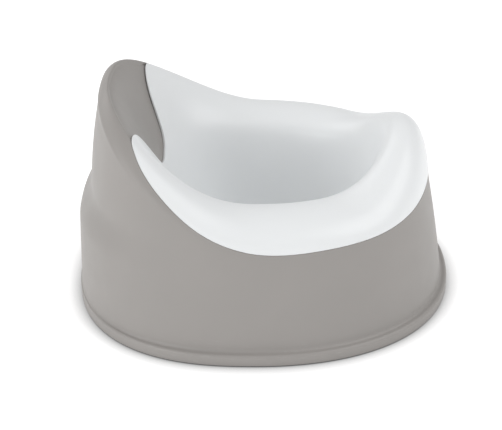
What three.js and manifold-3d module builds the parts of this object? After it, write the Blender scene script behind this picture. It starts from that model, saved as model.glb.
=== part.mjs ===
// Potty training chair: a grey outer shell with a backrest, a white lift-out inner potty
// with a splash guard, and rubber feet under the base. Millimetres, +Z up, the floor is z = 0.
// The front is -Y and the backrest is at +Y. The chair is symmetric about the plane x = 0.
import * as THREE from 'three';
import { mergeVertices } from 'three/addons/utils/BufferGeometryUtils.js';
import Module from 'manifold-3d';

// ---- Driving dimensions ----
const LENGTH = 364;
const WIDTH = 336;
const SEAT_HEIGHT = 131;
const GUARD_RISE = 40;
const BACK_RISE = 85;
const SHELL_WALL = 2.8;
const POTTY_WALL = 2.4;
const GAP = 0.5;
const POTTY_RECESS = POTTY_WALL + GAP;

// ---- Base band ----
const FOOT_DROP = 1;
const BAND_TOP = 12;
const BAND_FLANGE = 12;
const BAND_FLANGE_THICKNESS = 5;
const BAND_OUTLINE = [
  [0, FOOT_DROP],
  [0, 7],
  [-1.2, 10.8],
  [-3.2, BAND_TOP],
];

// ---- Plan outline: two superellipse halves that meet on the widest line ----
const WIDEST_Y = 14.5;
const FRONT_POWER = 2.2;
const REAR_POWER = 2.42;

// ---- Outer wall: its size at the floor, then how it leans in with height ----
const WALL_FOOT = { halfWidth: 162, front: -177, rear: 181 };
const BACKREST_REAR = 167;
const BACKREST_LEAN_FROM = 100;
const SHOULDER = [82, 118];

// ---- Where the splash guard and the backrest rise, as angles from the front ----
const GUARD_SPAN = 48;
const BACK_SPAN = [85, 170];

// ---- Height of the line where the potty's rim meets the outer wall ----
const RIM_LINE = { side: 110, guard: 6, back: 91 };
const RIM_BLEND = 12;

// ---- Control rings of the seat surface, from the rim down to the middle of the bowl ----
// Each ring is a plan outline with a side height and the rises over the guard and the backrest.
const SEAT_RINGS = [
  { halfWidth: 146, front: -157, rear: 157, side: SEAT_HEIGHT - 13, guard: 15, back: BACK_RISE },
  { halfWidth: 136, front: -151, rear: 150, side: SEAT_HEIGHT - 5, guard: 30, back: BACK_RISE },
  { halfWidth: 123, front: -138, rear: 141, side: SEAT_HEIGHT, guard: GUARD_RISE, back: BACK_RISE - 4 },
  { halfWidth: 104, front: -118, rear: 127, side: SEAT_HEIGHT, guard: GUARD_RISE - 4, back: 56 },
  { halfWidth: 89, front: -110, rear: 109, side: SEAT_HEIGHT - 4, guard: 20, back: 26 },
  { halfWidth: 78, front: -103, rear: 95, side: SEAT_HEIGHT - 9.5, guard: 1, back: 5 },
  { halfWidth: 72, front: -97, rear: 87, side: 98, guard: 0, back: 0 },
  { halfWidth: 66, front: -87, rear: 77, side: 60, guard: 0, back: 0 },
  { halfWidth: 58, front: -73, rear: 67, side: 36, guard: 0, back: 0 },
  { halfWidth: 40, front: -49, rear: 51, side: 24, guard: 0, back: 0 },
  { halfWidth: 18, front: -11, rear: 39, side: 22, guard: 0, back: 0 },
  { halfWidth: 1, front: 13, rear: 16, side: 22, guard: 0, back: 0 },
];
const WALL_RINGS = 2;
const BOWL_MIDDLE = WALL_RINGS + SEAT_RINGS.length - 1;

// ---- Lines on that surface, in ring numbers ----
// The shell steps down for the potty along the step line, and its shelf ends at the well line.
const STEP_LINE = [
  [0, 1.5], [15, 1.4], [28, 1.2], [45, 1.05], [62, 0.95], [79, 0.85], [92, 1.1], [106, 1.5],
  [119, 2.25], [131, 2.9], [138, 3.45], [142, 3.75], [149, 3.65], [165, 3.35], [180, 3.15],
];
const WELL_LINE = { side: 6.3, back: 1.1, span: [120, 165] };
// The notch line leaves it at the horns' tips, round the finger notch between them.
const NOTCH_LINE = [
  [138, 3.45], [141, 3.8], [144, 4.18], [147, 4.54], [150, 4.88], [154, 5.42],
  [157, 5.92], [161, 6.45], [166, 6.76], [173, 6.9], [180, 6.95],
];
const NOTCH_STARTS = [138, 142];
// The horns are thinner, which keeps their tips clear of the shell.
const HORN_THINNING = { amount: 1, starts: [122, 138], ends: [150, 165] };

// ---- Feet ----
const FOOT_ANGLES = { front: 32, middle: 90, rear: 148 };
const FOOT_INSET = 6;
const FOOT_RADIUS = 4.6;
const FOOT_STEM_RADIUS = 1.9;
const FOOT_STEM_LENGTH = 3.2;
const FOOT_EDGE = 0.4;
const FOOT_GAP = 0.3;
const FOOT_SIDES = 16;

// ---- How finely the surfaces are divided ----
const ANGLE_STEPS = 72;
const WALL_STEPS = 6;
const CROWN_STEPS = 5;
const SHELF_STEPS = 10;
const UNDERSIDE_STEPS = 5;
const BOWL_STEPS = 7;
const SLOPE_STEP = 0.01;

const SHELL_MATERIAL = { color: 0xa09e9c, roughness: 0.5, metalness: 0 };
const POTTY_MATERIAL = { color: 0xeeeeec, roughness: 0.4, metalness: 0 };
const FOOT_MATERIAL = { color: 0x6f6e6d, roughness: 0.85, metalness: 0 };

const degrees = (angle) => THREE.MathUtils.radToDeg(Math.abs(angle));

// Smooth rise from 0 to 1 across a span of angles or heights.
function rise(value, [from, to]) {
  return THREE.MathUtils.smoothstep(value, from, to);
}

// How much of the splash guard's rise an angle has: all of it at the front.
function guardShare(angle) {
  const t = Math.min(degrees(angle) / GUARD_SPAN, 1);
  return Math.cos((t * Math.PI) / 2) ** 2;
}

// How much of the backrest's rise an angle has: all of it at the rear.
function backShare(angle) {
  const [from, to] = BACK_SPAN;
  const t = THREE.MathUtils.clamp((degrees(angle) - from) / (to - from), 0, 1);
  return Math.sin((t * Math.PI) / 2) ** 2;
}

function heightAt(angle, { side, guard, back }) {
  return side + guard * guardShare(angle) + back * backShare(angle);
}

// A point of a plan outline. Angle 0 is the front, and a quarter turn is +X.
function outlinePoint(angle, { halfWidth, front, rear }, z) {
  const across = Math.sin(angle);
  const along = Math.cos(angle);
  const power = along >= 0 ? FRONT_POWER : REAR_POWER;
  const reach = along >= 0 ? WIDEST_Y - front : rear - WIDEST_Y;
  const sum = (Math.abs(across) / halfWidth) ** power + (Math.abs(along) / reach) ** power;
  const radius = sum ** (-1 / power);
  return new THREE.Vector3(radius * across, WIDEST_Y - radius * along, z);
}

// The outer wall at a height. The rear steps forward at the shoulder, from tub to backrest.
function wallPoint(angle, z) {
  const halfWidth = WALL_FOOT.halfWidth - 0.1 * z - 0.0001 * z * z;
  const front = WALL_FOOT.front + 0.118 * z + 0.0004 * z * z;
  const tubRear = WALL_FOOT.rear - 0.01 * z - 0.00012 * z * z;
  const above = z - BACKREST_LEAN_FROM;
  const backRear = BACKREST_REAR - 0.02 * above - 0.0009 * Math.max(above, 0) ** 2;
  const rear = THREE.MathUtils.lerp(tubRear, backRear, rise(z, SHOULDER));
  return outlinePoint(angle, { halfWidth, front, rear }, z);
}

function controlPoint(angle, ring) {
  if (ring < WALL_RINGS) {
    const z = heightAt(angle, RIM_LINE) - RIM_BLEND * (1 - ring);
    return wallPoint(angle, z);
  }
  const seatRing = SEAT_RINGS[ring - WALL_RINGS];
  return outlinePoint(angle, seatRing, heightAt(angle, seatRing));
}

// Control rings past either end mirror the last one, so the surface ends on its end ring.
function extendedControlPoint(angle, ring) {
  const end = THREE.MathUtils.clamp(ring, 0, BOWL_MIDDLE);
  const point = controlPoint(angle, end);
  if (ring === end) return point;
  const inner = controlPoint(angle, end === 0 ? 1 : end - 1);
  return point.multiplyScalar(2).sub(inner);
}

// Cubic B-spline weights of four neighbouring control rings.
function splineWeights(t) {
  const u = 1 - t;
  return [u ** 3, 3 * t ** 3 - 6 * t ** 2 + 4, -3 * t ** 3 + 3 * t ** 2 + 3 * t + 1, t ** 3].map(
    (weight) => weight / 6,
  );
}

// One continuous surface. Levels -1 to 0 climb the outer wall from the base band,
// and from 0 on the level is a ring number: over the crest and down into the bowl.
function surfacePoint(angle, level) {
  if (level < 0) {
    const top = heightAt(angle, RIM_LINE) - RIM_BLEND;
    return wallPoint(angle, top + level * (top - BAND_TOP));
  }
  const ring = Math.min(Math.floor(level), BOWL_MIDDLE - 1);
  const point = new THREE.Vector3();
  splineWeights(level - ring).forEach((weight, index) => {
    point.addScaledVector(extendedControlPoint(angle, ring + index - 1), weight);
  });
  return point;
}

// A point at a depth under the surface, measured along its normal.
function buriedPoint(angle, level, depth) {
  const point = surfacePoint(angle, level);
  if (depth === 0) return point;
  const after = Math.min(level + SLOPE_STEP, BOWL_MIDDLE);
  const before = Math.max(after - 2 * SLOPE_STEP, -1);
  const along = surfacePoint(angle + SLOPE_STEP, level).sub(surfacePoint(angle - SLOPE_STEP, level));
  const up = surfacePoint(angle, after).sub(surfacePoint(angle, before));
  return point.addScaledVector(along.cross(up).normalize(), -depth);
}

function wellLine(angle) {
  return WELL_LINE.side + WELL_LINE.back * rise(degrees(angle), WELL_LINE.span);
}

// Smooth curve through [angle, value] keys: cubic pieces with the slopes of their neighbours.
function throughKeys(keys, value) {
  const last = keys.length - 1;
  const x = THREE.MathUtils.clamp(value, keys[0][0], keys[last][0]);
  let i = 0;
  while (i < last - 1 && x > keys[i + 1][0]) i += 1;
  const slope = (k) => {
    if (k === last) return 0;
    const before = Math.max(k - 1, 0);
    return (keys[k + 1][1] - keys[before][1]) / (keys[k + 1][0] - keys[before][0]);
  };
  const width = keys[i + 1][0] - keys[i][0];
  const t = (x - keys[i][0]) / width;
  return (
    keys[i][1] * (2 * t ** 3 - 3 * t ** 2 + 1) +
    keys[i + 1][1] * (3 * t ** 2 - 2 * t ** 3) +
    width * slope(i) * (t ** 3 - 2 * t ** 2 + t) +
    width * slope(i + 1) * (t ** 3 - t ** 2)
  );
}

function stepLine(angle) {
  return throughKeys(STEP_LINE, degrees(angle));
}

// The potty's edge: just inside the step line, and down round the notch at the rear.
function pottyEdge(angle) {
  const step = stepLine(angle);
  const spacing = surfacePoint(angle, step + SLOPE_STEP).distanceTo(surfacePoint(angle, step));
  const rim = step + (GAP * SLOPE_STEP) / spacing;
  const notch = throughKeys(NOTCH_LINE, degrees(angle));
  return THREE.MathUtils.lerp(rim, notch, rise(degrees(angle), NOTCH_STARTS));
}

// Evenly spaced values from one end to the other, both included.
function spread(from, to, steps) {
  return Array.from({ length: steps + 1 }, (_, i) => THREE.MathUtils.lerp(from, to, i / steps));
}

// The shell's section at an angle, as a closed loop: up the outside, over the step,
// along the shelf to the well, and back under all of it to the base band.
function shellSection(angle) {
  const step = stepLine(angle);
  const well = wellLine(angle);
  const base = ([offset, z]) =>
    outlinePoint(
      angle,
      { halfWidth: WIDTH / 2 + offset, front: -LENGTH / 2 - offset, rear: LENGTH / 2 + offset },
      z,
    );
  const flangeTop = FOOT_DROP + BAND_FLANGE_THICKNESS;
  const underShelf = POTTY_RECESS + SHELL_WALL;
  const wallFoot = buriedPoint(angle, -1, SHELL_WALL);
  const innerLevels = [...spread(step, 0, CROWN_STEPS), ...spread(0, -1, WALL_STEPS).slice(1)];
  return [
    ...BAND_OUTLINE.map(base),
    ...spread(-1, 0, WALL_STEPS).map((level) => surfacePoint(angle, level)),
    ...spread(0, step, CROWN_STEPS).slice(1).map((level) => surfacePoint(angle, level)),
    ...spread(step, well, SHELF_STEPS).map((level) => buriedPoint(angle, level, POTTY_RECESS)),
    ...spread(well, step, UNDERSIDE_STEPS).map((level) => buriedPoint(angle, level, underShelf)),
    ...innerLevels.slice(1).map((level) => {
      const thickening = (underShelf - SHELL_WALL) * rise(level, [step - 1, step]);
      return buriedPoint(angle, level, SHELL_WALL + thickening);
    }),
    wallFoot.clone().setZ(flangeTop),
    base([-BAND_FLANGE, flangeTop]),
    base([-BAND_FLANGE, FOOT_DROP]),
  ];
}

function pottyThickness(angle) {
  const { amount, starts, ends } = HORN_THINNING;
  return POTTY_WALL - amount * rise(degrees(angle), starts) * (1 - rise(degrees(angle), ends));
}

// The potty's section at an angle: from the middle of the bowl out to its edge, and back below.
function pottySection(angle) {
  const well = wellLine(angle);
  const levels = [
    ...spread(BOWL_MIDDLE, well, BOWL_STEPS),
    ...spread(well, pottyEdge(angle), SHELF_STEPS).slice(1),
  ];
  return [
    ...levels.map((level) => surfacePoint(angle, level)),
    ...levels.reverse().map((level) => buriedPoint(angle, level, pottyThickness(angle))),
  ];
}

// Joins sections all the way round into one closed surface. A loop section closes on itself,
// and an open one is closed at its two ends by a point in the middle of the end ring.
function sweepRound(sectionAt, isLoop) {
  const sections = Array.from({ length: ANGLE_STEPS }, (_, i) =>
    sectionAt(THREE.MathUtils.degToRad((360 * i) / ANGLE_STEPS - 180)),
  );
  const count = sections[0].length;
  const positions = sections.flat().flatMap((point) => point.toArray());
  const triangles = [];
  const at = (i, k) => (i % ANGLE_STEPS) * count + (k % count);
  const spans = isLoop ? count : count - 1;
  for (let i = 0; i < ANGLE_STEPS; i += 1) {
    for (let k = 0; k < spans; k += 1) {
      const quad = [at(i, k), at(i + 1, k), at(i + 1, k + 1), at(i, k + 1)];
      // The diagonals mirror each other across x = 0, so the two halves match.
      const order = i < ANGLE_STEPS / 2 ? [0, 1, 2, 0, 2, 3] : [0, 1, 3, 1, 2, 3];
      triangles.push(...order.map((corner) => quad[corner]));
    }
  }
  if (!isLoop) {
    [0, count - 1].forEach((k, end) => {
      const middle = new THREE.Vector3();
      sections.forEach((section) => middle.addScaledVector(section[k], 1 / ANGLE_STEPS));
      const index = positions.length / 3;
      positions.push(...middle.toArray());
      for (let i = 0; i < ANGLE_STEPS; i += 1) {
        const pair = end === 0 ? [at(i + 1, k), at(i, k)] : [at(i, k), at(i + 1, k)];
        triangles.push(index, ...pair);
      }
    });
  }
  const geometry = new THREE.BufferGeometry();
  geometry.setAttribute('position', new THREE.Float32BufferAttribute(positions, 3));
  geometry.setIndex(triangles);
  return geometry;
}

function flipFaces(geometry) {
  const index = geometry.index.array;
  for (let i = 0; i < index.length; i += 3) {
    [index[i], index[i + 1]] = [index[i + 1], index[i]];
  }
  return geometry;
}

const wasm = await Module();
wasm.setup();

function toSolid(geometry) {
  const bare = geometry.clone();
  bare.deleteAttribute('normal');
  bare.deleteAttribute('uv');
  const merged = mergeVertices(bare);
  const vertProperties = new Float32Array(merged.attributes.position.array);
  const triVerts = new Uint32Array(merged.index.array);
  return new wasm.Manifold(new wasm.Mesh({ numProp: 3, vertProperties, triVerts }));
}

function toGeometry(solid) {
  const mesh = solid.getMesh();
  const geometry = new THREE.BufferGeometry();
  geometry.setAttribute('position', new THREE.BufferAttribute(mesh.vertProperties, 3));
  geometry.setIndex(new THREE.BufferAttribute(mesh.triVerts, 1));
  return geometry;
}

// Six feet, named by side and place, with the middle of each on the base band's flange.
function footPlaces() {
  const inset = {
    halfWidth: WIDTH / 2 - FOOT_INSET,
    front: -LENGTH / 2 + FOOT_INSET,
    rear: LENGTH / 2 - FOOT_INSET,
  };
  return Object.entries(FOOT_ANGLES).flatMap(([place, angle]) =>
    [['right', 1], ['left', -1]].map(([side, sign]) => ({
      name: `foot_${place}_${side}`,
      position: outlinePoint(THREE.MathUtils.degToRad(sign * angle), inset, 0),
    })),
  );
}

// Blind hole in the base band's flange for one foot's stem.
function footHole({ position }) {
  const depth = FOOT_STEM_LENGTH + GAP;
  const overlap = 1;
  const radius = FOOT_STEM_RADIUS + GAP;
  const hole = new THREE.CylinderGeometry(radius, radius, depth + overlap, FOOT_SIDES);
  hole.rotateX(Math.PI / 2);
  hole.translate(position.x, position.y, FOOT_DROP + (depth - overlap) / 2);
  return toSolid(hole);
}

function outerShell(feet) {
  let solid = toSolid(sweepRound(shellSection, true));
  feet.forEach((foot) => {
    solid = solid.subtract(footHole(foot));
  });
  return named('outer_shell', toGeometry(solid), SHELL_MATERIAL);
}

function innerPotty() {
  return named('inner_potty', flipFaces(sweepRound(pottySection, false)), POTTY_MATERIAL);
}

// A round pad with a rounded edge and a stem that plugs into the base band.
function foot({ name, position }) {
  const padTop = FOOT_DROP - FOOT_GAP;
  const profile = [
    [0, 0],
    [FOOT_RADIUS - FOOT_EDGE, 0],
    [FOOT_RADIUS, FOOT_EDGE],
    [FOOT_RADIUS, padTop],
    [FOOT_STEM_RADIUS, padTop],
    [FOOT_STEM_RADIUS, FOOT_DROP + FOOT_STEM_LENGTH],
    [0, FOOT_DROP + FOOT_STEM_LENGTH],
  ].map(([x, y]) => new THREE.Vector2(x, y));
  const geometry = new THREE.LatheGeometry(profile, FOOT_SIDES);
  geometry.rotateX(Math.PI / 2);
  const mesh = named(name, toGeometry(toSolid(geometry)), FOOT_MATERIAL);
  mesh.position.copy(position);
  return mesh;
}

function named(name, geometry, look) {
  geometry.computeVertexNormals();
  const mesh = new THREE.Mesh(geometry, new THREE.MeshStandardMaterial(look));
  mesh.name = name;
  return mesh;
}

const chair = new THREE.Group();
const places = footPlaces();
chair.add(outerShell(places));
chair.add(innerPotty());
places.forEach((place) => chair.add(foot(place)));

export default chair;
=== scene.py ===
"""Potty training chair: the fine surfaces, materials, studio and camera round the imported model.

Both mouldings are one smooth surface, split by a line into the grey shell and the white potty.
Shapes are worked out in design units, 364 to the length of the chair, and scaled to metres.
Angles run round the chair: 0 is the front (-Y), a quarter turn is +X, 180 degrees is the rear.
"""

import math

import bpy
import numpy as np
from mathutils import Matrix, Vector


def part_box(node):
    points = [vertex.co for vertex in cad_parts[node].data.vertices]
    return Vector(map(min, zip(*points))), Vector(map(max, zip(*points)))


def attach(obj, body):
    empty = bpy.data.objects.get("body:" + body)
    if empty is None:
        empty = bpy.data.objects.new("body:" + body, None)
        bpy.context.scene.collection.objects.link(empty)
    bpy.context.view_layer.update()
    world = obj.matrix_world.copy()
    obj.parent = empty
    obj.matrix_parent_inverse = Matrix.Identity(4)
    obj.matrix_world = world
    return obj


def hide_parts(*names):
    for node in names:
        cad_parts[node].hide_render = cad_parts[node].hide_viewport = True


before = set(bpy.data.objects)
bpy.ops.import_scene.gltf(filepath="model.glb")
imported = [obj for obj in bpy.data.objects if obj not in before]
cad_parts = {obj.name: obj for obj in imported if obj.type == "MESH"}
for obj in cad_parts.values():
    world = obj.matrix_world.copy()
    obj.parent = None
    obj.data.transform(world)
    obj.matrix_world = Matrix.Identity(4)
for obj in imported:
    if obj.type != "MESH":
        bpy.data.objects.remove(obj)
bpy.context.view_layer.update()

# ---- Driving dimensions, from the frame ----
SHELL_LOW, SHELL_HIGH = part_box("outer_shell")
LENGTH = 364
WIDTH = 336
UNIT = (SHELL_HIGH.y - SHELL_LOW.y) / LENGTH
SEAT_HEIGHT = 131
GUARD_RISE = 40
BACK_RISE = 85
SHELL_WALL = 2.8
POTTY_WALL = 2.4
GAP = 0.15
POTTY_RECESS = POTTY_WALL + GAP

# ---- Base band ----
BAND_FOOT = SHELL_LOW.z / UNIT
BAND_TOP = 12
BAND_FLANGE = 12
BAND_FLANGE_THICKNESS = 5
BAND_FOOT_RADIUS = 0.8
BAND_SHOULDER_RADIUS = 3.4
BAND_COVE_HEIGHT = 4
BAND_FACE_SHARES = (0.33, 0.67)
# The groove over the band fades out between these angles, with most of its shoulder.
BAND_FADE = (138, 160)
BAND_FADED_SHOULDER = 0.7

# ---- Feet: the stem is a share of the pad's radius ----
FOOT_EDGE_RADIUS = 0.4
FOOT_GAP = 0.3
FOOT_CHAMFER = 0.2
STEM_SHARE = 0.41
NECK_SHARE = 0.9
TIP_SHARE = 0.7
BARB_HEIGHT = 1.4
BARB_LEDGE = 0.3
# The tread: a recess in the middle and two grooves, as shares of the pad's radius.
TREAD_DEPTH = 0.25
TREAD_RECESS = (0.22, 0.26)
GROOVES = (0.42, 0.64)
GROOVE_STOPS = (0.03, 0.09, 0.12)

# ---- Plan outline and outer wall ----
WIDEST_Y = 14.5
FRONT_POWER = 2.2
REAR_POWER = 2.42
WALL_FOOT = {"half_width": 162, "front": -177, "rear": 181}
# How far each side leans in: by height, and by height squared.
SIDE_LEAN = (0.1, 0.0001)
FRONT_LEAN = (0.118, 0.0004)
TUB_REAR_LEAN = (0.01, 0.00012)
BACKREST_REAR = 167
BACKREST_LEAN_FROM = 100
BACKREST_LEAN = (0.02, 0.0009)
SHOULDER = (82, 118)
GUARD_SPAN = 48
BACK_SPAN = (85, 170)
RIM_LINE = {"side": 110, "guard": 6, "back": 91}
RIM_BLEND = 12

# ---- Control rings: half width, front, rear, side height, guard rise, backrest rise ----
SEAT_RINGS = (
    (146, -157, 157, SEAT_HEIGHT - 13, 15, BACK_RISE),
    (136, -151, 150, SEAT_HEIGHT - 5, 30, BACK_RISE),
    (123, -138, 141, SEAT_HEIGHT, GUARD_RISE, BACK_RISE - 4),
    (104, -118, 127, SEAT_HEIGHT, GUARD_RISE - 4, 56),
    (89, -110, 109, SEAT_HEIGHT - 4, 20, 26),
    (78, -103, 95, SEAT_HEIGHT - 9.5, 1, 5),
    (72, -97, 87, 98, 0, 0),
    (66, -87, 77, 60, 0, 0),
    (58, -73, 67, 36, 0, 0),
    (40, -49, 51, 24, 0, 0),
    (18, -11, 39, 22, 0, 0),
    (1, 13, 16, 22, 0, 0),
)
WALL_RINGS = 2
BOWL_MIDDLE = WALL_RINGS + len(SEAT_RINGS) - 1

# ---- Lines on the surface: level, which is a ring number, at an angle in degrees ----
# The shell steps down for the potty along the step line, and its shelf ends at the well line.
STEP_LINE = (
    (0, 1.5), (15, 1.4), (28, 1.2), (45, 1.05), (62, 0.95), (79, 0.85), (92, 1.1), (106, 1.5),
    (119, 2.25), (131, 2.9), (138, 3.45), (142, 3.75), (149, 3.65), (165, 3.35), (180, 3.15),
)
# The notch line leaves the step line at the horns' tips, round the finger notch between them.
NOTCH_LINE = (
    (138, 3.45), (141, 3.8), (144, 4.18), (147, 4.54), (150, 4.88), (154, 5.42),
    (157, 5.92), (161, 6.45), (166, 6.76), (173, 6.9), (180, 6.95),
)
NOTCH_STARTS = (138, 142)
WELL_SIDE = 6.3
WELL_BACK = 1.1
WELL_SPAN = (120, 165)
# The horns are thinner, which keeps their tips clear of the shell.
HORN_THINNING = 1
HORN_THIN_FROM = (122, 138)
HORN_THIN_TO = (150, 165)

# ---- Edges ----
# The shell's step is crisp under the potty's rim and opens into a soft crease on the backrest.
STEP_LEVELS = 0.006
CREASE_LEVELS = 0.42
CREASE_SPAN = (140, 148)
RIM_EDGE_RADIUS = 0.55
UNDER_EDGE_RADIUS = 0.4
WELL_EDGE_RADIUS = 0.9

# ---- Mesh density ----
# Degrees from the front up to which a section spacing holds; the horns' tips need the most.
SECTION_SPACING = ((130, 1.25), (138, 0.5), (149, 0.2), (180, 0.62))
SLOPE_STEP = 0.004
BAND_FOOT_POINTS = 4
BAND_SHOULDER_POINTS = 8
BAND_COVE_STEPS = 10
WALL_STEPS = 46
CROWN_STEPS = 30
FALL_STEPS = 12
SHELF_STEPS = 60
WELL_EDGE_POINTS = 6
UNDERSIDE_STEPS = 30
INNER_WALL_STEPS = 44
BOWL_STEPS = 66
SEAT_STEPS = 80
RIM_EDGE_POINTS = 8
BOWL_UNDERSIDE_STEPS = 26
FOOT_SIDES = 48

# ---- Looks: linear colours, roughness, and heights in metres ----
SHELL_COLOURS = {"light": (0.312, 0.294, 0.28), "dark": (0.3, 0.284, 0.27)}
SHELL_ROUGHNESS = 0.46
SHELL_SCUFF = (0.46, 0.45, 0.44)
POTTY_COLOURS = {"light": (0.795, 0.81, 0.818), "dark": (0.785, 0.8, 0.808)}
POTTY_ROUGHNESS = 0.34
POTTY_SCUFF = (0.8, 0.8, 0.79)
POTTY_SUBSURFACE = 0.06
POTTY_SUBSURFACE_RADIUS = (0.004, 0.004, 0.0035)
SCUFF_HEIGHT = 0.03
SCUFF_STRENGTH = 0.35
SCUFF_ROUGHENING = 0.18
PLASTIC_IOR = 1.49
# Noise scales are per metre. A spread is how far roughness varies below and above its value.
CLOUD_SCALE = 14
SCUFF_SCALE = 90
SCUFF_STRETCH = (1, 1, 6)
SCUFF_STOPS = (0.6, 0.78)
PATCH_SCALE = 45
ROUGHNESS_SPREAD = (0.03, 0.04)
NOISE_STOPS = (0.3, 0.7)
# Bumps: noise scale, strength, distance.
WAVES = (22, 0.06, 0.002)
GRAIN = (1500, 0.05, 0.0002)
RUBBER_GRAIN = (2400, 0.2, 0.0002)
DUST_SCALE = 260
DUST_STOPS = (0.4, 0.75)
RUBBER_ROUGHNESS = (0.72, 0.9)
RUBBER_COLOUR = (0.16, 0.157, 0.153)
RUBBER_DUST = (0.21, 0.207, 0.2)

# ---- Studio, in metres, watts and degrees ----
# The paper glows a little, so it comes out white, except right against the chair, where ambient
# occlusion darkens its colour and glow into a painted contact shadow.
FLOOR_HALF_SIZE = 6
FLOOR_COLOUR = (0.75, 0.75, 0.75, 1)
FLOOR_ROUGHNESS = 0.9
FLOOR_GLOW = 0.6
# How far the painted contact shadow on the floor reaches, in metres.
PAINTED_SHADOW_REACH = 0.014
WORLD_STRENGTH = 0.53
LIGHT_SIZE = 1.2
LIGHT_DISTANCE = 1.8
# Name, power, azimuth and elevation. Azimuth 0 is the front and 90 is -X.
SOFT_BOXES = (
    ("rear_box", 11, 138, 27),
    ("front_box", 11, 12, 50),
    ("far_box", 6, -140, 40),
)
# The camera looks from the -X side, slightly from the front, at a target in design units.
CAMERA_AZIMUTH = -89
CAMERA_ELEVATION = 30
CAMERA_DISTANCE = 1484
CAMERA_TARGET = (0, 13.3, 64)
CAMERA_SENSOR = 36
CAMERA_LENS = 107.6


def smooth_rise(value, span):
    """Rises smoothly from 0 to 1 across a span."""
    t = np.clip((value - span[0]) / (span[1] - span[0]), 0, 1)
    return t * t * (3 - 2 * t)


def degrees(angle):
    """Degrees from the front, the same on both sides."""
    return np.abs(np.degrees(angle))


def height(angle, side, guard, back):
    """A side height plus the rises over the splash guard and the backrest."""
    guard_turn = np.minimum(degrees(angle) / GUARD_SPAN, 1)
    back_turn = np.clip((degrees(angle) - BACK_SPAN[0]) / (BACK_SPAN[1] - BACK_SPAN[0]), 0, 1)
    guard_share = np.cos(guard_turn * math.pi / 2) ** 2
    back_share = np.sin(back_turn * math.pi / 2) ** 2
    return side + guard * guard_share + back * back_share


def outline(angle, half_width, front, rear, z):
    """Points of a plan outline: two superellipse halves that meet on the widest line."""
    across, along = np.sin(angle), np.cos(angle)
    power = np.where(along >= 0, FRONT_POWER, REAR_POWER)
    reach = np.where(along >= 0, WIDEST_Y - front, rear - WIDEST_Y)
    total = (np.abs(across) / half_width) ** power + (np.abs(along) / reach) ** power
    radius = total ** (-1 / power)
    parts = np.broadcast_arrays(radius * across, WIDEST_Y - radius * along, z)
    return np.stack(parts, axis=-1)


def wall(angle, z):
    """The outer wall at a height. The rear steps forward at the shoulder."""
    half_width = WALL_FOOT["half_width"] - SIDE_LEAN[0] * z - SIDE_LEAN[1] * z**2
    front = WALL_FOOT["front"] + FRONT_LEAN[0] * z + FRONT_LEAN[1] * z**2
    tub_rear = WALL_FOOT["rear"] - TUB_REAR_LEAN[0] * z - TUB_REAR_LEAN[1] * z**2
    above = z - BACKREST_LEAN_FROM
    curve = BACKREST_LEAN[1] * np.maximum(above, 0) ** 2
    back_rear = BACKREST_REAR - BACKREST_LEAN[0] * above - curve
    share = smooth_rise(z, SHOULDER)
    rear = tub_rear * (1 - share) + back_rear * share
    return outline(angle, half_width, front, rear, z)


def base_outline(angle, offset, z):
    """The base band's outline, grown by an offset."""
    half = LENGTH / 2 + offset
    return outline(angle, WIDTH / 2 + offset, -half, half, z)


def control_rings(angle):
    """The control rings at each angle, with a mirrored one past either end."""
    rim = height(angle, **RIM_LINE)
    rings = [wall(angle, rim - RIM_BLEND), wall(angle, rim)]
    for half_width, front, rear, side, guard, back in SEAT_RINGS:
        rings.append(outline(angle, half_width, front, rear, height(angle, side, guard, back)))
    rings.insert(0, 2 * rings[0] - rings[1])
    rings.append(2 * rings[-1] - rings[-2])
    return np.stack(rings, axis=1)


def surface(angle, level):
    """Points of the surface at levels (angles by levels). From -1 to 0 a level climbs the wall
    from the base band; from 0 on it is a ring number, over the crest and down into the bowl."""
    rings = control_rings(angle)
    clamped = np.clip(level, 0, BOWL_MIDDLE)
    ring = np.minimum(np.floor(clamped), BOWL_MIDDLE - 1).astype(int)
    t = (clamped - ring)[..., None]
    weights = ((1 - t) ** 3, 3 * t**3 - 6 * t**2 + 4, -3 * t**3 + 3 * t**2 + 3 * t + 1, t**3)
    points = 0
    for index, weight in enumerate(weights):
        control = np.take_along_axis(rings, (ring + index)[..., None], axis=1)
        points = points + weight / 6 * control
    top = height(angle, **RIM_LINE)[:, None] - RIM_BLEND
    below = wall(angle[:, None], top + np.minimum(level, 0) * (top - BAND_TOP))
    return np.where((level < 0)[..., None], below, points)


def buried(angle, level, depth):
    """Points at a depth under the surface, measured along its normal."""
    level = np.broadcast_to(level, (len(angle), np.shape(level)[-1]))
    after = np.minimum(level + SLOPE_STEP, BOWL_MIDDLE)
    along = surface(angle + SLOPE_STEP, level) - surface(angle - SLOPE_STEP, level)
    up = surface(angle, after) - surface(angle, after - 2 * SLOPE_STEP)
    normal = np.cross(along, up)
    normal /= np.linalg.norm(normal, axis=-1, keepdims=True)
    return surface(angle, level) - normal * np.asarray(depth)[..., None]


def through_keys(keys, value):
    """Smooth curve through (degrees, level) keys: cubic pieces with their neighbours' slopes."""
    x, y = np.array(keys, dtype=float).T
    slope = np.zeros(len(x))
    slope[0] = (y[1] - y[0]) / (x[1] - x[0])
    slope[1:-1] = (y[2:] - y[:-2]) / (x[2:] - x[:-2])
    value = np.clip(value, x[0], x[-1])
    i = np.clip(np.searchsorted(x, value) - 1, 0, len(x) - 2)
    width = x[i + 1] - x[i]
    t = (value - x[i]) / width
    ends = y[i] * (2 * t**3 - 3 * t**2 + 1) + y[i + 1] * (3 * t**2 - 2 * t**3)
    return ends + width * (slope[i] * (t**3 - 2 * t**2 + t) + slope[i + 1] * (t**3 - t**2))


def level_spacing(angle, level):
    """Units along the surface for one level."""
    ahead = surface(angle, (level + SLOPE_STEP)[:, None])
    here = surface(angle, level[:, None])
    return np.linalg.norm(ahead - here, axis=-1)[:, 0] / SLOPE_STEP


def step_line(angle):
    """Where the shell steps down for the potty."""
    return through_keys(STEP_LINE, degrees(angle))


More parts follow.
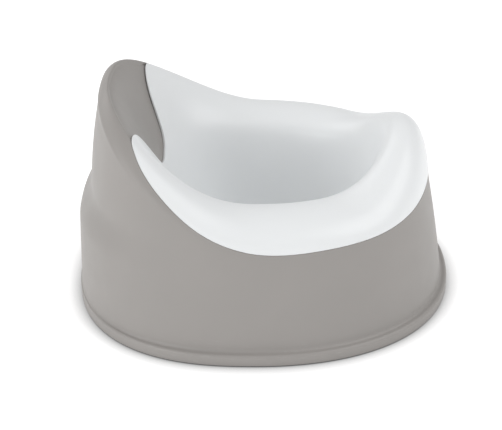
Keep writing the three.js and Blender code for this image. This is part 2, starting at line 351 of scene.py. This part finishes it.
def well_line(angle):
    """Where the shell's shelf ends, round the well that the bowl hangs in."""
    return WELL_SIDE + WELL_BACK * smooth_rise(degrees(angle), WELL_SPAN)


def potty_edge(angle):
    """The potty's edge: just inside the step line, and down round the notch at the rear."""
    step = step_line(angle)
    rim = step + GAP / level_spacing(angle, step)
    notch = through_keys(NOTCH_LINE, degrees(angle))
    return rim + (notch - rim) * smooth_rise(degrees(angle), NOTCH_STARTS)


def potty_thickness(angle):
    """The horns thin towards their tips."""
    turn = degrees(angle)
    return POTTY_WALL - HORN_THINNING * smooth_rise(turn, HORN_THIN_FROM) * (
        1 - smooth_rise(turn, HORN_THIN_TO)
    )


def section_angles():
    """Angles of the sections, closest together at the horns' tips and alike on both sides."""
    half = []
    start = 0
    for end, spacing in SECTION_SPACING:
        count = round((end - start) / spacing)
        half.extend(np.linspace(start, end, count, endpoint=False))
        start = end
    half = np.array(half)
    return np.radians(np.concatenate([[-180], -half[:0:-1], half]))


def between(start, end, count, skip_first=True):
    """Even columns of levels from one line to another, one row for each angle."""
    share = np.linspace(0, 1, count + 1)
    if skip_first:
        share = share[1:]
    start, end = np.broadcast_arrays(np.atleast_1d(start), np.atleast_1d(end))
    return start[:, None] + (end - start)[:, None] * share


def band_columns(angle):
    """The base band from its foot to the wall: rounded foot, rounded shoulder, then a cove."""
    room = np.linalg.norm((base_outline(angle, 0, 0) - wall(angle, BAND_TOP))[:, :2], axis=1)
    fade = smooth_rise(degrees(angle), BAND_FADE)
    shoulder = np.minimum(BAND_SHOULDER_RADIUS * (1 - BAND_FADED_SHOULDER * fade), room / 2)
    columns = []
    for turn in np.radians(np.linspace(0, 90, BAND_FOOT_POINTS)):
        offset = -BAND_FOOT_RADIUS * (1 - math.sin(turn))
        z = BAND_FOOT + BAND_FOOT_RADIUS * (1 - math.cos(turn))
        columns.append(base_outline(angle, offset, z))
    for share in BAND_FACE_SHARES:
        top = BAND_TOP - shoulder
        z = BAND_FOOT + BAND_FOOT_RADIUS + share * (top - BAND_FOOT - BAND_FOOT_RADIUS)
        columns.append(base_outline(angle, 0, z))
    for turn in np.radians(np.linspace(0, 90, BAND_SHOULDER_POINTS)):
        z = BAND_TOP - shoulder * (1 - math.sin(turn))
        columns.append(base_outline(angle, -shoulder * (1 - math.cos(turn)), z))
    start = columns[-1]
    corner = wall(angle, BAND_TOP)
    end = wall(angle, BAND_TOP + BAND_COVE_HEIGHT)
    corner += fade[:, None] * ((start + end) / 2 - corner)
    for t in np.linspace(0, 1, BAND_COVE_STEPS + 1)[1:-1]:
        columns.append((1 - t) ** 2 * start + 2 * t * (1 - t) * corner + t**2 * end)
    return np.stack(columns, axis=1)


def shell_sections(angle):
    """Closed sections of the shell: up the outside, over the step, along the shelf to the well,
    and back under all of it to the base band."""
    step = step_line(angle)
    well = well_line(angle)
    crease = STEP_LEVELS + (CREASE_LEVELS - STEP_LEVELS) * smooth_rise(degrees(angle), CREASE_SPAN)
    rim = height(angle, **RIM_LINE) - RIM_BLEND
    wall_start = -(rim - BAND_TOP - BAND_COVE_HEIGHT) / (rim - BAND_TOP)
    under = POTTY_RECESS + SHELL_WALL

    fall = between(step, step + crease, FALL_STEPS)
    fall_depth = POTTY_RECESS * smooth_rise(np.linspace(0, 1, FALL_STEPS + 1)[1:], (0, 1))
    shelf = between(step + crease, well, SHELF_STEPS)
    turn = np.radians(np.linspace(0, 90, WELL_EDGE_POINTS))
    well_spacing = level_spacing(angle, well)[:, None]
    lip = well[:, None] + WELL_EDGE_RADIUS * np.sin(turn) / well_spacing
    lip_depth = POTTY_RECESS + WELL_EDGE_RADIUS * (1 - np.cos(turn))
    below = between(well + WELL_EDGE_RADIUS / well_spacing[:, 0], step, UNDERSIDE_STEPS)
    inner = between(step, -1, INNER_WALL_STEPS)
    thickening = (under - SHELL_WALL) * smooth_rise(inner, (step[:, None] - 1, step[:, None]))
    flange_top = BAND_FOOT + BAND_FLANGE_THICKNESS
    wall_foot = buried(angle, inner[:, -1:], np.full((1, 1), SHELL_WALL))[:, 0].copy()
    wall_foot[:, 2] = flange_top
    return np.concatenate(
        [
            band_columns(angle),
            surface(angle, between(wall_start, 0, WALL_STEPS, skip_first=False)),
            surface(angle, between(0, step, CROWN_STEPS)),
            buried(angle, fall, fall_depth),
            buried(angle, shelf, np.full(SHELF_STEPS, POTTY_RECESS)),
            buried(angle, lip, lip_depth),
            buried(angle, below, np.full(UNDERSIDE_STEPS, under)),
            buried(angle, inner, SHELL_WALL + thickening),
            wall_foot[:, None],
            base_outline(angle, -BAND_FLANGE, flange_top)[:, None],
            base_outline(angle, -BAND_FLANGE, BAND_FOOT)[:, None],
        ],
        axis=1,
    )


def potty_sections(angle):
    """Sections of the potty: from the middle of the bowl to its rounded edge, and back below."""
    edge = potty_edge(angle)
    spacing = level_spacing(angle, edge)[:, None]
    thickness = potty_thickness(angle)[:, None]
    round_start = edge + RIM_EDGE_RADIUS / spacing[:, 0]
    well = well_line(angle)
    turn = np.radians(np.linspace(0, 90, RIM_EDGE_POINTS))
    rim_round = edge[:, None] + RIM_EDGE_RADIUS * (1 - np.sin(turn)) / spacing
    rim_depth = RIM_EDGE_RADIUS * (1 - np.cos(turn)) * np.ones_like(spacing)
    under_round = edge[:, None] + UNDER_EDGE_RADIUS * (1 - np.cos(turn[::2])) / spacing
    under_depth = thickness - UNDER_EDGE_RADIUS * (1 - np.sin(turn[::2]))
    back_rim = between(edge + UNDER_EDGE_RADIUS / spacing[:, 0], well, UNDERSIDE_STEPS)
    back_bowl = between(well, BOWL_MIDDLE, BOWL_UNDERSIDE_STEPS)
    back = np.concatenate([back_rim, back_bowl], axis=1)
    return np.concatenate(
        [
            surface(angle, between(BOWL_MIDDLE, well, BOWL_STEPS, skip_first=False)),
            surface(angle, between(well, round_start, SEAT_STEPS)),
            buried(angle, rim_round[:, 1:], rim_depth[:, 1:]),
            buried(angle, under_round, under_depth),
            buried(angle, back, thickness * np.ones_like(back)),
        ],
        axis=1,
    )


def new_object(name, vertices, faces):
    """A smooth-shaded mesh object from vertices in design units."""
    mesh = bpy.data.meshes.new(name)
    mesh.from_pydata((np.asarray(vertices) * UNIT).tolist(), [], faces)
    mesh.validate()
    mesh.update()
    mesh.shade_smooth()
    piece = bpy.data.objects.new(name, mesh)
    bpy.context.scene.collection.objects.link(piece)
    return piece


def sweep_round(name, sections, closes, flip=False):
    """Joins sections all the way round. A section that doesn't close on itself is capped by a
    point in the middle of its end rings."""
    turns, count = sections.shape[:2]
    vertices = sections.reshape(-1, 3)
    i, k = np.meshgrid(np.arange(turns), np.arange(count if closes else count - 1), indexing="ij")
    following = (i + 1) % turns
    above = (k + 1) % count
    quads = np.stack(
        [i * count + k, following * count + k, following * count + above, i * count + above], axis=-1
    ).reshape(-1, 4)
    faces = quads.tolist()
    if not closes:
        middles = sections[:, [0, count - 1]].mean(axis=0)
        vertices = np.concatenate([vertices, middles])
        first, last = len(vertices) - 2, len(vertices) - 1
        for turn in range(turns):
            here, there = turn * count, (turn + 1) % turns * count
            faces.append([first, there, here])
            faces.append([last, here + count - 1, there + count - 1])
    if flip:
        faces = [face[::-1] for face in faces]
    return new_object(name, vertices, faces)


# ---- Materials ----


class Nodes:
    """Small helper for building a node material."""

    def __init__(self, name):
        self.material = bpy.data.materials.new(name)
        self.material.use_nodes = True
        self.tree = self.material.node_tree
        self.shader = self.tree.nodes["Principled BSDF"]
        self.position = self.add("ShaderNodeTexCoord").outputs["Object"]

    def add(self, kind, **values):
        node = self.tree.nodes.new(kind)
        for key, value in values.items():
            setattr(node, key, value)
        return node

    def link(self, output, socket):
        self.tree.links.new(output, socket)

    def noise(self, scale, detail=3.0, stretch=None):
        """Noise from 0 to 1 over the piece, with its own scale per metre."""
        source = self.position
        if stretch:
            mapping = self.add("ShaderNodeMapping")
            mapping.inputs["Scale"].default_value = stretch
            self.link(source, mapping.inputs["Vector"])
            source = mapping.outputs["Vector"]
        noise = self.add("ShaderNodeTexNoise")
        noise.inputs["Scale"].default_value = scale
        noise.inputs["Detail"].default_value = detail
        self.link(source, noise.inputs["Vector"])
        return noise.outputs["Fac"]

    def ramp(self, value, low, high, start=0.0, end=1.0):
        """Maps a value between two stops to a range."""
        remap = self.add("ShaderNodeMapRange")
        remap.inputs["From Min"].default_value = low
        remap.inputs["From Max"].default_value = high
        remap.inputs["To Min"].default_value = start
        remap.inputs["To Max"].default_value = end
        self.link(value, remap.inputs["Value"])
        return remap.outputs["Result"]

    def mix_colour(self, share, first, second):
        mix = self.add("ShaderNodeMix", data_type="RGBA")
        self.link(share, mix.inputs["Factor"])
        for socket, colour in ((mix.inputs[6], first), (mix.inputs[7], second)):
            if isinstance(colour, tuple):
                socket.default_value = (*colour, 1)
            else:
                self.link(colour, socket)
        return mix.outputs[2]

    def calculate(self, operation, first, second):
        node = self.add("ShaderNodeMath", operation=operation)
        for socket, value in zip(node.inputs, (first, second)):
            if isinstance(value, (int, float)):
                socket.default_value = value
            else:
                self.link(value, socket)
        return node.outputs["Value"]

    def bump(self, layers):
        """Stacks bump layers of (height, strength, distance in metres)."""
        normal = None
        for value, strength, distance in layers:
            node = self.add("ShaderNodeBump")
            node.inputs["Strength"].default_value = strength
            node.inputs["Distance"].default_value = distance
            self.link(value, node.inputs["Height"])
            if normal:
                self.link(normal, node.inputs["Normal"])
            normal = node.outputs["Normal"]
        self.link(normal, self.shader.inputs["Normal"])


def moulded_plastic(name, colours, roughness, worn):
    """Satin polypropylene: a cloudy colour, a fine moulded grain, and scuffs near the floor."""
    nodes = Nodes(name)
    clouds = nodes.ramp(nodes.noise(CLOUD_SCALE, 4), *NOISE_STOPS)
    colour = nodes.mix_colour(clouds, colours["dark"], colours["light"])
    scuffs = nodes.ramp(nodes.noise(SCUFF_SCALE, 5, stretch=SCUFF_STRETCH), *SCUFF_STOPS)
    axes = nodes.add("ShaderNodeSeparateXYZ")
    nodes.link(nodes.position, axes.inputs["Vector"])
    low_down = nodes.ramp(axes.outputs["Z"], SCUFF_HEIGHT, 0)
    wear = nodes.calculate("MULTIPLY", scuffs, low_down)
    faint_wear = nodes.calculate("MULTIPLY", wear, SCUFF_STRENGTH)
    nodes.link(nodes.mix_colour(faint_wear, colour, worn), nodes.shader.inputs["Base Color"])
    smoothest = roughness - ROUGHNESS_SPREAD[0]
    roughest = roughness + ROUGHNESS_SPREAD[1]
    patches = nodes.ramp(nodes.noise(PATCH_SCALE, 3), *NOISE_STOPS, smoothest, roughest)
    dull = nodes.calculate("ADD", patches, nodes.calculate("MULTIPLY", wear, SCUFF_ROUGHENING))
    nodes.link(dull, nodes.shader.inputs["Roughness"])
    grain = nodes.noise(GRAIN[0], 2)
    waves = nodes.noise(WAVES[0], 2)
    nodes.bump([(waves, *WAVES[1:]), (grain, *GRAIN[1:])])
    nodes.shader.inputs["IOR"].default_value = PLASTIC_IOR
    return nodes


def shell_material():
    grey = moulded_plastic("shell_plastic", SHELL_COLOURS, SHELL_ROUGHNESS, SHELL_SCUFF)
    return grey.material


def potty_material():
    white = moulded_plastic("potty_plastic", POTTY_COLOURS, POTTY_ROUGHNESS, POTTY_SCUFF)
    white.shader.inputs["Subsurface Weight"].default_value = POTTY_SUBSURFACE
    white.shader.inputs["Subsurface Radius"].default_value = POTTY_SUBSURFACE_RADIUS
    return white.material


def foot_material():
    """Soft grey rubber with a fine grain and dust in its pores."""
    nodes = Nodes("foot_rubber")
    dust = nodes.ramp(nodes.noise(DUST_SCALE, 4), *DUST_STOPS)
    rubber = nodes.mix_colour(dust, RUBBER_COLOUR, RUBBER_DUST)
    nodes.link(rubber, nodes.shader.inputs["Base Color"])
    nodes.link(nodes.ramp(dust, 0, 1, *RUBBER_ROUGHNESS), nodes.shader.inputs["Roughness"])
    nodes.bump([(nodes.noise(RUBBER_GRAIN[0], 2), *RUBBER_GRAIN[1:])])
    return nodes.material


# ---- Pieces ----


def add_shell(angles):
    shell = sweep_round("shell_moulding", shell_sections(angles), closes=True)
    shell.data.materials.append(shell_material())
    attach(shell, "base")
    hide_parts("outer_shell")


def add_potty(angles):
    potty = sweep_round("potty_moulding", potty_sections(angles), closes=False, flip=True)
    potty.data.materials.append(potty_material())
    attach(potty, "potty")
    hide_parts("inner_potty")


def foot_profile(radius, top):
    """Half section of a foot: a grooved tread, a rounded rim, and a barbed stem."""
    stem = STEM_SHARE * radius
    pad = BAND_FOOT - FOOT_GAP
    floor_to_groove, groove_to_floor, groove_end = GROOVE_STOPS
    profile = [
        (0, TREAD_DEPTH),
        (TREAD_RECESS[0] * radius, TREAD_DEPTH),
        (TREAD_RECESS[1] * radius, 0),
    ]
    for start in GROOVES:
        profile.append((start * radius, 0))
        profile.append(((start + floor_to_groove) * radius, TREAD_DEPTH))
        profile.append(((start + groove_to_floor) * radius, TREAD_DEPTH))
        profile.append(((start + groove_end) * radius, 0))
    for turn in np.radians(np.linspace(0, 90, 5)):
        inset = FOOT_EDGE_RADIUS * (1 - math.sin(turn))
        profile.append((radius - inset, FOOT_EDGE_RADIUS * (1 - math.cos(turn))))
    profile += [
        (radius, pad - FOOT_CHAMFER),
        (radius - FOOT_CHAMFER, pad),
        (stem * NECK_SHARE, pad),
        (stem * NECK_SHARE, top - BARB_HEIGHT),
        (stem, top - BARB_HEIGHT + BARB_LEDGE),
        (stem * TIP_SHARE, top),
        (0, top),
    ]
    return profile


def add_feet(material):
    for node in sorted(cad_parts):
        if not node.startswith("foot_"):
            continue
        low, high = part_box(node)
        middle = (low + high) / 2 / UNIT
        profile = foot_profile((high.x - low.x) / 2 / UNIT, high.z / UNIT)
        turns = np.radians(np.arange(FOOT_SIDES) * 360 / FOOT_SIDES)
        sections = np.array(
            [
                [(middle.x + r * math.cos(t), middle.y + r * math.sin(t), z) for r, z in profile[1:-1]]
                for t in turns
            ]
        )
        foot = sweep_round("rubber_" + node, sections, closes=False)
        foot.data.materials.append(material)
        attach(foot, "base")
        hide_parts(node)


# ---- Studio ----


def add_floor():
    size = FLOOR_HALF_SIZE
    mesh = bpy.data.meshes.new("floor")
    corners = [(-size, -size, 0), (size, -size, 0), (size, size, 0), (-size, size, 0)]
    mesh.from_pydata(corners, [], [(0, 1, 2, 3)])
    floor = bpy.data.objects.new("floor", mesh)
    bpy.context.scene.collection.objects.link(floor)
    material = bpy.data.materials.new("floor_paper")
    material.use_nodes = True
    tree = material.node_tree
    shader = tree.nodes["Principled BSDF"]
    shader.inputs["Roughness"].default_value = FLOOR_ROUGHNESS
    shader.inputs["Emission Strength"].default_value = FLOOR_GLOW
    # Painted contact shadow: ambient occlusion darkens the floor's colour and glow near the chair.
    painted_shadow = tree.nodes.new("ShaderNodeAmbientOcclusion")
    painted_shadow.inputs["Color"].default_value = FLOOR_COLOUR
    painted_shadow.inputs["Distance"].default_value = PAINTED_SHADOW_REACH
    tree.links.new(painted_shadow.outputs["Color"], shader.inputs["Base Color"])
    tree.links.new(painted_shadow.outputs["Color"], shader.inputs["Emission Color"])
    mesh.materials.append(material)


def add_area_light(name, power, azimuth, elevation):
    """A square soft box that faces the chair."""
    data = bpy.data.lights.new(name, "AREA")
    data.energy = power
    data.size = LIGHT_SIZE
    light = bpy.data.objects.new(name, data)
    a, e = math.radians(azimuth), math.radians(elevation)
    away = Vector((-math.sin(a) * math.cos(e), -math.cos(a) * math.cos(e), math.sin(e)))
    light.location = away * LIGHT_DISTANCE
    light.rotation_euler = away.to_track_quat("Z", "Y").to_euler()
    bpy.context.scene.collection.objects.link(light)


def add_lights():
    world = bpy.data.worlds.new("studio")
    world.use_nodes = True
    background = world.node_tree.nodes["Background"]
    background.inputs["Color"].default_value = (1, 1, 1, 1)
    background.inputs["Strength"].default_value = WORLD_STRENGTH
    bpy.context.scene.world = world
    for name, power, azimuth, elevation in SOFT_BOXES:
        add_area_light(name, power, azimuth, elevation)


def add_camera():
    azimuth, elevation = math.radians(CAMERA_AZIMUTH), math.radians(CAMERA_ELEVATION)
    distance = CAMERA_DISTANCE * UNIT
    target = Vector(CAMERA_TARGET) * UNIT
    back = Vector(
        (
            math.sin(azimuth) * math.cos(elevation),
            -math.cos(azimuth) * math.cos(elevation),
            math.sin(elevation),
        )
    )
    data = bpy.data.cameras.new("camera")
    data.sensor_width = CAMERA_SENSOR
    data.lens = CAMERA_LENS
    camera = bpy.data.objects.new("camera", data)
    camera.location = target + back * distance
    camera.rotation_euler = back.to_track_quat("Z", "Y").to_euler()
    bpy.context.scene.collection.objects.link(camera)
    bpy.context.scene.camera = camera


angles = section_angles()
add_shell(angles)
add_potty(angles)
add_feet(foot_material())
add_floor()
add_lights()
add_camera()
bpy.context.scene.view_settings.view_transform = "Standard"
